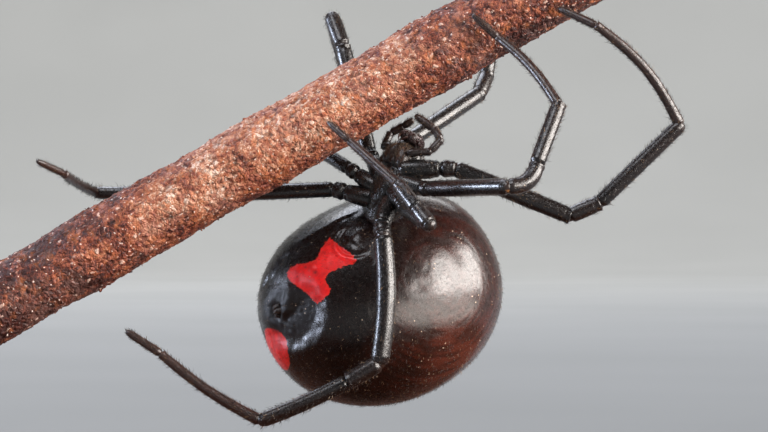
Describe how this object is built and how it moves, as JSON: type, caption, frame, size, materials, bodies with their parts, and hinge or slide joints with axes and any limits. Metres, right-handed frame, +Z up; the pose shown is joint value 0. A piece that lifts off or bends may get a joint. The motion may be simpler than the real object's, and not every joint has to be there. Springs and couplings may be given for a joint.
{
  "type": "spider display model",
  "caption": "Life-size black widow spider hanging under a cut twig, glossy black with a red hourglass, held by a small rod on a flat base.",
  "frame": {"origin": "middle of the underside of the stand's base", "axes": "+Z up; the viewer of the picture stands at -Y, and +X is to that viewer's right"},
  "size_m": [0.04, 0.019, 0.0288],
  "materials": {
    "black_cuticle": "glossy black cuticle",
    "abdomen_skin": "satin maroon-black skin",
    "red_mark": "satin bright red",
    "brown_cuticle": "dark brown satin cuticle",
    "bark": "rough reddish-brown bark",
    "base_wood": "cherry-stained satin wood",
    "rod_steel": "brushed"
  },
  "bodies": {
    "root": {"cephalothorax": "black_cuticle", "abdomen": "abdomen_skin", "abdomen_hourglass": "red_mark", "abdomen_tail_spot": "red_mark", "spinnerets": "black_cuticle", "chelicera_left": "black_cuticle", "chelicera_right": "black_cuticle", "pedipalp_left": "brown_cuticle", "pedipalp_right": "brown_cuticle", "leg_left_1_femur": "black_cuticle", "leg_left_1_tibia": "black_cuticle", "leg_left_1_tarsus": "black_cuticle", "leg_left_2_femur": "black_cuticle", "leg_left_2_tibia": "black_cuticle", "leg_left_2_tarsus": "black_cuticle", "leg_left_3_femur": "black_cuticle", "leg_left_3_tibia": "black_cuticle", "leg_left_3_tarsus": "black_cuticle", "leg_left_4_femur": "black_cuticle", "leg_left_4_tibia": "black_cuticle", "leg_left_4_tarsus": "black_cuticle", "leg_right_1_femur": "black_cuticle", "leg_right_1_tibia": "black_cuticle", "leg_right_1_tarsus": "black_cuticle", "leg_right_2_femur": "black_cuticle", "leg_right_2_tibia": "black_cuticle", "leg_right_2_tarsus": "black_cuticle", "leg_right_3_femur": "black_cuticle", "leg_right_3_tibia": "black_cuticle", "leg_right_3_tarsus": "black_cuticle", "leg_right_4_femur": "black_cuticle", "leg_right_4_tibia": "black_cuticle", "leg_right_4_tarsus": "black_cuticle", "twig_perch": "bark", "stand_base": "base_wood", "stand_rod": "rod_steel"}
  },
  "joints": []
}
